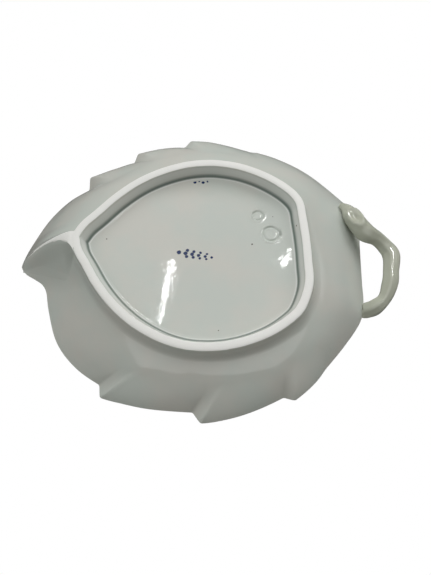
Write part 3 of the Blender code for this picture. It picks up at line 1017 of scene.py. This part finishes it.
def lip_share(side, t):
    """Where the inside ends: one wall thickness short of the rim."""
    return 1.0 - WALL / (margin[side].at(t) - foot[side].at(t)).length


rim_outer = [underside(side, t, 1.0) for side, t in stations]
rim_inner = [inside(side, t, lip_share(side, t)) for side, t in stations]


def lip_place(turn):
    """A loop of the lip, at an angle from 0 at the outer edge to pi at the inner one."""
    def place(k):
        edge, top = rim_outer[k], rim_inner[k]
        across = top - edge
        up = -across.xy.normalized().to_3d() * abs(across.z)
        up.z = across.xy.length
        crown = up.normalized() * across.length * LIP_CROWN
        return (edge + top) / 2 - across / 2 * math.cos(turn) + crown * math.sin(turn)
    return place


print("rim is", round((rim_inner[0] - rim_outer[0]).length / MM, 1), "mm thick at the tip")

# %% Underside and lip of the leaf
leaf = Growth(len(stations))
leaf.move(floor_place(FOOT_DEPTH, HUB), gathering=0.0)
for k in range(1, FLOOR_RINGS + 1):
    leaf.grow(floor_place(FOOT_DEPTH, HUB + (1 - HUB) * k / FLOOR_RINGS), gathering=0.0)
for k in range(1, FLANK_RINGS + 1):
    s = k / FLANK_RINGS
    leaf.grow(station_function(lambda side, t: underside(side, t, s)), gathering=0.0)
for k in range(1, LIP_RINGS):
    leaf.grow(lip_place(math.pi * k / LIP_RINGS), gathering=0.0)
print("outside of the leaf:", len(leaf.bm.verts), "vertices")

# %% Inside of the leaf, smoothed and veined
LIP_SHARE = 0.9
inner = []
for k in range(INNER_FLANK_RINGS, -1, -1):
    s = k / INNER_FLANK_RINGS
    leaf.grow(station_function(lambda side, t: inside(side, t, s * lip_share(side, t))),
              gathering=0.0)
    if s < LIP_SHARE:
        inner += leaf.ring
for k in range(INNER_FLOOR_RINGS - 1, 0, -1):
    leaf.grow(floor_place(FOOT_DEPTH + WALL, k / INNER_FLOOR_RINGS), gathering=0.0)
    inner += leaf.ring
for k in range(SMOOTHING):
    bmesh.ops.smooth_vert(leaf.bm, verts=inner, factor=0.5, use_axis_x=False, use_axis_y=False,
                          use_axis_z=True)
for vertex in inner:
    vertex.co.z += vein_height(vertex.co)
leaf.close(middle + Vector((0, 0, FOOT_DEPTH + WALL + vein_height(middle))))
rims = [v for v in leaf.bm.verts if v.is_boundary]
bmesh.ops.contextual_create(leaf.bm, geom=rims)
print("whole leaf:", len(leaf.bm.verts), "vertices")

# %% [markdown]
# ## Two plain rings pressed into the base
#
# While the clay was soft, two small tubes were pressed into it. Each leaves a round groove
# with a slight rim outside it, where the clay was pushed up. The base's mesh is too coarse
# for that, so it is subdivided, but only near the two places.

# %% Press the rings, and finish the leaf
STAMPS = [(34.5 * MM, -27.5 * MM, 3.0 * MM), (43.0 * MM, -15.5 * MM, 4.6 * MM)]
STAMP_DEPTH = 0.6 * MM
STAMP_RIM = 0.25 * MM
STAMP_HALF = 0.6 * MM
STAMP_CUTS = 5
STAMP_REACH = 4.0 * MM


def is_base(vertex):
    """True for the flat base's vertices, which lie at its height to within a hair."""
    return abs(vertex.co.z - FOOT_DEPTH) < 0.01 * MM


def stamp_distance(spot):
    """How far outside the nearest pressed circle a place lies; negative inside it."""
    return min(math.hypot(spot.x - x, spot.y - AXIS_Y - y) - radius for x, y, radius in STAMPS)


pressed = [e for e in leaf.bm.edges if all(is_base(v) for v in e.verts)
           and min(stamp_distance(v.co) for v in e.verts) < STAMP_REACH]
bmesh.ops.subdivide_edges(leaf.bm, edges=pressed, cuts=STAMP_CUTS, use_grid_fill=True)
for vertex in leaf.bm.verts:
    if is_base(vertex):
        away = stamp_distance(vertex.co)
        vertex.co.z += STAMP_DEPTH * math.exp(-(away / STAMP_HALF) ** 2)
        vertex.co.z -= STAMP_RIM * math.exp(-((away - 2 * STAMP_HALF) / STAMP_HALF) ** 2)
print("stamps pressed into", len(pressed), "edges")
leaf_piece = finished("leaf", leaf.bm, leaf_glaze)
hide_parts("leaf_bowl")

# %% [markdown]
# ## The foot ring
#
# The ring's section is drawn from where its outer side melts into the flank, down to the
# standing face, across it, and up the inner wall to the floor of the recess. A potter
# sponges that joint smooth, so both ends are curves that meet the dish at a tangent. The
# marks say where the face is bare, where glaze gathers in the inner corner, where it is thin,
# and where a light line is painted along the base's edge as a painted highlight.

# %% Inset of the ring's outline
def inset(sides, distance):
    """The outline moved in by distance, with the pointed corner kept on the middle line."""
    moved = {}
    for side, path in sides.items():
        count = len(path.points) - 1
        line = []
        for k in range(count + 1):
            share = path.arc[k] / path.length
            line.append(path.at(share) - path.outward(share, side) * distance)
        inside_half = [p for p in line[:count // 2] if (p.y - AXIS_Y) * side > 0.0]
        kept = inside_half + line[count // 2:]
        first, second = kept[0], kept[1]
        run = (second.x - first.x) / (second.y - first.y)
        tip = Vector((first.x - (first.y - AXIS_Y) * run, AXIS_Y))
        moved[side] = [tip] + kept
    stem = (moved[FAR][-1] + moved[NEAR][-1]) / 2
    tip = (moved[FAR][0] + moved[NEAR][0]) / 2
    return {side: Side([tip] + line[1:-1] + [stem]) for side, line in moved.items()}


print("ring's arms:", [round(side.length / MM) for side in foot.values()], "mm long")

# %% Section of the ring
FILLET_START = 1.0 * MM
FILLET_RUN = 5.0 * MM
FILLET_DEPTH = 3.2 * MM
FILLET_POWER = 2.2
FILLET_SINK = 0.05 * MM
FILLET_STEPS = 9
# Outer wall and edge: (out from the outline, height, bare), in millimetres.
OUTER_WALL = [(0.62, 2.9, 0.0), (0.28, 1.2, 0.0), (0.12, 0.62, 0.15), (-0.2, 0.2, 0.5),
              (-0.75, 0.02, 1.0)]
# Face, inner edge, inner wall and corner at the floor: (in, height, bare, gathering,
# thin glaze and painted highlight). The last column's peak at 8.5 mm in is a painted
# highlight: a light line along the base's edge in the recess.
INNER_WALL = [(2.4, 0.0, 1.0, 0.0, 0.0), (4.2, 0.02, 1.0, 0.0, 0.0), (4.75, 0.2, 0.5, 0.0, 0.0),
              (5.05, 0.62, 0.15, 0.0, 0.0), (5.35, 1.5, 0.0, 0.0, 0.6), (5.9, 3.3, 0.0, 0.0, 0.6),
              (6.5, 5.2, 0.0, 0.1, 0.4), (6.85, 6.1, 0.0, 0.35, 0.0), (7.2, 6.9, 0.0, 0.7, 0.0),
              (7.65, 7.5, 0.0, 0.75, 0.0), (8.1, 7.75, 0.0, 0.2, 0.1), (8.5, 7.84, 0.0, 0.0, 0.8),
              (8.9, 7.9, 0.0, 0.0, 0.1), (9.5, 7.96, 0.0, 0.0, 0.0), (10.4, 8.03, 0.0, 0.0, 0.0)]


def outer_place(reach, drop):
    """A point outside the ring's outline, at a height below the flank or above the table."""
    def place(side, t):
        base = foot[side].at(ring_share(t))
        out = margin[side].at(t) - base
        spot = base + out.normalized() * reach
        if drop is None:
            return Vector((spot.x, spot.y, 0.0))
        flank = underside(side, t, reach / out.length).z
        return Vector((spot.x, spot.y, flank - drop))
    return station_function(place)


print("sections of the ring:", FILLET_STEPS + len(OUTER_WALL) + len(INNER_WALL) + 1)

# %% Grow the ring
ring = Growth(len(stations))
ring.move(outer_place(FILLET_START + FILLET_RUN, -FILLET_SINK), bare=0.0, gathering=0.0)
for k in range(1, FILLET_STEPS + 1):
    share = k / FILLET_STEPS
    ring.grow(outer_place(FILLET_START + FILLET_RUN * (1 - share), FILLET_DEPTH * share ** FILLET_POWER),
              bare=0.0, gathering=0.0)
for reach, height, bare in OUTER_WALL:
    ring.grow(outer_place(reach * MM, None), bare=bare, gathering=0.0)
    for vertex in ring.ring:
        vertex.co.z = height * MM
for reach, height, bare, gathering, thin in INNER_WALL:
    line = inset(foot, reach * MM)
    ring.grow(station_function(lambda side, t: line[side].at(ring_share(t)).to_3d()),
              bare=bare, gathering=gathering, thin=thin)
    for vertex in ring.ring:
        vertex.co.z = height * MM
open_edges = [e for e in ring.bm.edges if e.is_boundary]
bmesh.ops.bridge_loops(ring.bm, edges=open_edges)
ring_piece = finished("standing_ring", ring.bm, ring_finish, 60)
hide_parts("foot_ring")

# %% [markdown]
# ## The keel under the spout
#
# The rib carries the ring's corner on up the spout. Its two sides differ: the far one melts
# into the flank, the near one drops into a hollow. To make both meet the leaf, each point of
# a side asks the leaf how high it is there, by a ray cast straight up. A web of clay rounds
# the inner angle between the rib and the near arm of the ring.

# %% Height of the leaf's underside at any place
leaf_tree = BVHTree.FromObject(leaf_piece, bpy.context.evaluated_depsgraph_get())
UP = Vector((0, 0, 1))
RAY_START = -0.05


def flank_height(x, y):
    """Height of the leaf's underside; past its edge, the height of its rim."""
    hit = leaf_tree.ray_cast(Vector((x, y, RAY_START)), UP)[0]
    return hit.z if hit else rim_height(x)


print("flank at the middle:", round(flank_height(0, 0) / MM, 2), "mm")

# %% Sizes of the keel
KEEL_HALVES = {
    "far": [(0.0, 3.2 * MM), (0.12, 2.2 * MM), (0.3, 1.0 * MM), (1.0, 0.5 * MM)],
    "near": [(0.0, 2.0 * MM), (0.3, 1.0 * MM), (1.0, 0.6 * MM)],
}
KEEL_RUNS = {"far": (7.5 * MM, 0.45), "near": (19.0 * MM, 0.75)}
KEEL_POWERS = {"far": 1.7, "near": 2.4}
KEEL_POWER = 1.45
KEEL_LIFT = 0.02 * MM
KEEL_END = 0.95
KEEL_STEPS = 60
WEB_WIDTH, WEB_LENGTH, WEB_BACK = 6.5 * MM, 4.2 * MM, 3.2 * MM
EDGE_ROUND = 0.12 * MM
BACK_HALF, BACK_DEPTH = 5.0 * MM, 1.2 * MM
ROOT_SINK = 0.06 * MM
TIP_GLAZE = 0.35
EDGE_GLAZE = 0.55
ROOT_BACK = 4.0 * MM
corner = foot[FAR].at(0.0)
tip = margin[FAR].at(0.0)
spout = (tip - corner).length
SIDE_STEPS = 9
# Across the keel: from the far root, over the face, to the near root, and back inside.
across = [("far", k / SIDE_STEPS) for k in range(SIDE_STEPS)]
across += [("face", -1.0), ("face", -0.8), ("face", 0.0), ("face", 0.8), ("face", 1.0)]
across += [("near", 1 - k / SIDE_STEPS) for k in range(1, SIDE_STEPS + 1)]
across += [("back", 0.7), ("back", 0.0), ("back", -0.7)]
print("keel:", round(spout * KEEL_END / MM), "mm long,", len(across), "points across")


# %% Cross-section of the keel
def keel_place(forward):
    """Points of one cross-section, forward metres from the ring's corner towards the tip."""
    share = max(forward, 0.0) / spout
    low = KEEL_LIFT + (rim_height(tip.x) - KEEL_LIFT) * share ** KEEL_POWER
    halves = {kind: ramp(pairs, share) for kind, pairs in KEEL_HALVES.items()}
    halves["near"] += WEB_WIDTH * math.exp(-(forward + WEB_BACK) / WEB_LENGTH)
    spread = smoothstep(-ROOT_BACK, 2 * ROOT_BACK, forward)
    runs = {kind: run * (1 - less * share) * spread for kind, (run, less) in KEEL_RUNS.items()}
    x = corner.x - forward

    def place(k):
        kind, value = across[k]
        if kind == "face":
            half = halves["near"] if value > 0 else halves["far"]
            rounding = EDGE_ROUND if abs(value) == 1.0 else 0.0
            y = AXIS_Y + half * value
            return Vector((x, y, min(low + rounding, flank_height(x, y) + GAP)))
        if kind == "back":
            y = AXIS_Y + BACK_HALF * value
            return Vector((x, y, flank_height(x, y) + BACK_DEPTH))
        side = NEAR if kind == "near" else FAR
        y = AXIS_Y + side * (halves[kind] + runs[kind] * (1 - value))
        flank = flank_height(x, y)
        drop = max(flank - low, 0.0) * value ** KEEL_POWERS[kind]
        return Vector((x, y, flank - drop + (ROOT_SINK if value == 0.0 else 0.0)))
    return place


def keel_bare(forward):
    """How bare the keel's face is: fully at the ring, and less and less towards the tip."""
    return 1.0 - TIP_GLAZE * max(forward, 0.0) / spout


print("keel at half way:", round(keel_place(spout / 2)(SIDE_STEPS + 2).z / MM, 1), "mm high")

# %% Grow the keel
keel = Growth(len(across))
keel.move(keel_place(-ROOT_BACK), bare=0.0, gathering=0.0)
for k in range(1, KEEL_STEPS + 1):
    forward = -ROOT_BACK + (spout * KEEL_END + ROOT_BACK) * k / KEEL_STEPS
    keel.grow(keel_place(forward), bare=0.0, gathering=0.0)
    for vertex in keel.ring:
        kind, value = across[vertex[keel.number]]
        if kind == "face":
            vertex[keel.marks["bare"]] = keel_bare(forward) * (EDGE_GLAZE if abs(value) == 1.0 else 1.0)
open_edges = [e for e in keel.bm.edges if e.is_boundary]
bmesh.ops.holes_fill(keel.bm, edges=open_edges, sides=0)
keel_piece = finished("spout_rib", keel.bm, ring_finish, 60)
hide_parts("spout_keel")

# %% [markdown]
# ## Twig handle and cut stem
#
# The handle is modelled as a real twig: it swells at each bend where a leaf once grew, has a
# few long ridges of bark, and narrows towards its thin end. A circle of edges is extruded
# from place to place along the middle line, turned as little as possible at each step so
# that the ridges run straight. The stem's cut side branch leaves an oval scar.

# %% Middle line of the twig
TWIG_RADIUS = 5.2 * MM
TWIG_REACH = 15.8 * MM
TWIG_DROP = 5.5 * MM
STUB_RADIUS = 6.0 * MM
BUTT_RISE = 6.3 * MM
BUTT_FLATNESS = 0.38
BUTT_GIRTH = 0.9
ROOT = (3.8 * MM, 5.2 * MM, 1.7 * MM)
BUTT_PLACE = 0.945
STUB_BENDS = [(0.824, 0.78, 0.30, 0.30), (0.844, 0.78, 0.65, 0.62), (0.868, 0.81, 1.0, 0.88)]
TWIG_BENDS = [
    (-0.11, 0.162, -7.0, 1.08), (0.38, 0.208, -4.5, 0.88), (0.73, 0.268, -2.0, 0.88),
    (1.0, 0.364, -0.5, 1.02), (0.98, 0.549, 0.0, 0.90), (0.925, 0.695, 0.5, 0.92),
    (0.715, 0.869, 2.0, 0.76), (0.36, 0.968, 3.5, 0.92),
]


def twig_route():
    """Points of the middle line, each with its radius."""
    route = []
    for place, out, depth, girth in STUB_BENDS:
        spot = plain_underside(FAR, place, out)
        spot.z -= STUB_RADIUS * depth
        route.append((spot, STUB_RADIUS * girth))
    shoulder = route[-1][0]
    butt = margin[NEAR].at(BUTT_PLACE)
    inward = -margin[NEAR].outward(BUTT_PLACE, NEAR)
    level = rim_height(STEM_X) - TWIG_DROP
    for reach, share, rise, girth in TWIG_BENDS:
        x = STEM_X + TWIG_REACH * reach
        y = shoulder.y + (butt.y - shoulder.y) * share
        route.append((Vector((x, y, level + rise * MM)), TWIG_RADIUS * girth))
    route.append((Vector((butt.x, butt.y, level + BUTT_RISE)), TWIG_RADIUS * BUTT_GIRTH))
    into, rise, radius = ROOT
    root = butt + inward * into
    route.append((Vector((root.x, root.y, level + rise)), radius))
    return route


route = twig_route()
spots = [Vector((*spot, radius)) for spot, radius in route]
ends = (spots[0] * 2 - spots[1], spots[-1] * 2 - spots[-2])
PER_BEND = 14
line = [(v.xyz, v.w) for v in through(spots, ends[0], ends[1], PER_BEND)]
print("twig:", len(line), "places along", len(route), "bends")

# %% Frames carried along the line
TWIG_SIDES = 64
frames = []
side_way = Vector((0.0, 0.0, 1.0))
for k, (spot, radius) in enumerate(line):
    along = (line[min(k + 1, len(line) - 1)][0] - line[max(k - 1, 0)][0]).normalized()
    side_way = (side_way - along * side_way.dot(along)).normalized()
    frames.append((spot, radius, side_way.copy(), along.cross(side_way)))
PARTING = (len(STUB_BENDS) - 1) * PER_BEND + PER_BEND // 2
print("stem and twig part at place", PARTING)

# %% The scar of the cut side branch
SCAR_PLACE = 1.95
SCAR_FACING = Vector((0.09, 0.39, -0.92)).normalized()
SCAR_HALVES = (6.4 * MM, 3.5 * MM)
SCAR_LIP = 1.1 * MM
SCAR_HOLLOW = 1.5 * MM
SCAR_LIP_SHARE = 0.3
SCAR_HOLLOW_SHARE = 0.8
SCAR_BEHIND = 3.0 * MM


def scar(point, centre, along):
    """How far the surface stands out at the oval scar: a raised lip round a hollow."""
    away = point - centre
    if away.dot(SCAR_FACING) < -SCAR_BEHIND:
        return 0.0
    long = away.dot(along) / SCAR_HALVES[0]
    wide = away.dot(along.cross(SCAR_FACING)) / SCAR_HALVES[1]
    reach = math.hypot(long, wide)
    lip = SCAR_LIP * math.exp(-((reach - 1.0) / SCAR_LIP_SHARE) ** 2)
    return lip - SCAR_HOLLOW * (1.0 - smoothstep(0.0, SCAR_HOLLOW_SHARE, reach))


scar_frame = frames[round(SCAR_PLACE * PER_BEND)]
scar_along = scar_frame[2].cross(scar_frame[3])
scar_along = (scar_along - SCAR_FACING * scar_along.dot(SCAR_FACING)).normalized()
scar_centre = scar_frame[0] + SCAR_FACING * scar_frame[1]
print("scar is", round(2 * SCAR_HALVES[0] / MM, 1), "mm long")

# %% Bark
RIDGES = 6
RIDGE_HEIGHT = 0.075
BARK_FROM, BARK_TO = 1.5, 4.0
FLAT_FROM, FLAT_TO = 9.5, 11.0
BARK_LUMPS = 0.05
LUMP_SIZE = 7.0 * MM
TWIST = 0.5
BROAD_RIDGES = 3
BROAD_TWIST = -0.4


def bark(k, angle):
    """Radius as a share of the plain one: fine and broad long ridges, and slow lumps."""
    along = k / PER_BEND
    ridge = math.cos(RIDGES * angle + TWIST * along)
    ridge += 0.5 * math.cos(BROAD_RIDGES * angle + BROAD_TWIST * along)
    spot, radius, first, second = frames[k]
    point = spot + (first * math.cos(angle) + second * math.sin(angle)) * radius
    grown = smoothstep(BARK_FROM, BARK_TO, along)
    return 1.0 + RIDGE_HEIGHT * 0.5 * ridge * grown + BARK_LUMPS * uneven(point, LUMP_SIZE)


def twig_place(k):
    """Points round the twig at place k; at its butt the twig is pressed flat."""
    flat = 1.0 - BUTT_FLATNESS * smoothstep(FLAT_FROM, FLAT_TO, k / PER_BEND)

    def place(n):
        angle = 2 * math.pi * n / TWIG_SIDES
        spot, radius, first, second = frames[k]
        out = first * math.cos(angle) + second * math.sin(angle)
        offset = out * radius * bark(k, angle)
        offset += out * scar(spot + offset, scar_centre, scar_along)
        offset.z *= flat
        return spot + offset
    return place


print("bark starts at bend", BARK_FROM, "and the flat butt at bend", FLAT_FROM)


# %% Cut stem and bent twig
def stick(name, first, last):
    """A closed length of twig between two places of the line."""
    made = Growth(TWIG_SIDES)
    made.move(twig_place(first), gathering=0.0)
    for k in range(first + 1, last + 1):
        made.grow(twig_place(k), gathering=0.0)
    bmesh.ops.holes_fill(made.bm, edges=[e for e in made.bm.edges if e.is_boundary], sides=0)
    piece = finished(name, made.bm, twig_glaze, 60)
    return piece


stub_piece = stick("cut_stem", 0, PARTING)
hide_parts("stem_stub")
twig_piece = stick("bent_twig", PARTING, len(line) - 1)
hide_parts("twig_handle")
